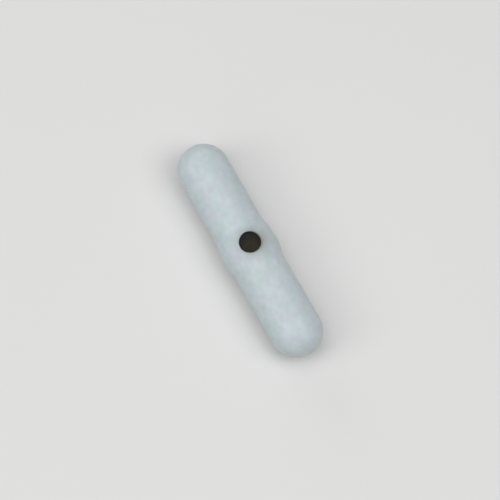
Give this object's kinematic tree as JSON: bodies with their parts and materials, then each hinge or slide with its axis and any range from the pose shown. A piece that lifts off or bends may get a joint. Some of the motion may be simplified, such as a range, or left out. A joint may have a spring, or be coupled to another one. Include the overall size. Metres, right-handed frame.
{
  "type": "magnetic stir bar",
  "caption": "Round-ended magnetic stirring rod sealed in a smooth white fluoropolymer jacket, with a low pivot ring round its middle and a dark marker dot on the ring.",
  "frame": {"origin": "middle of the bar, on its own axis and in the plane of the pivot ring", "axes": "+X along the bar's axis, +Z out through the middle of the marker dot, so -Z is the side of the ring that the bar turns on when the dot is up"},
  "size_m": [0.038, 0.0092, 0.0091],
  "materials": {
    "white_fluoropolymer": "satin",
    "cast_magnet": "matte",
    "dark_fluoropolymer": "matte"
  },
  "bodies": {
    "root": {"jacket": "white_fluoropolymer", "bar_magnet": "cast_magnet", "marker_dot": "dark_fluoropolymer"}
  },
  "joints": []
}
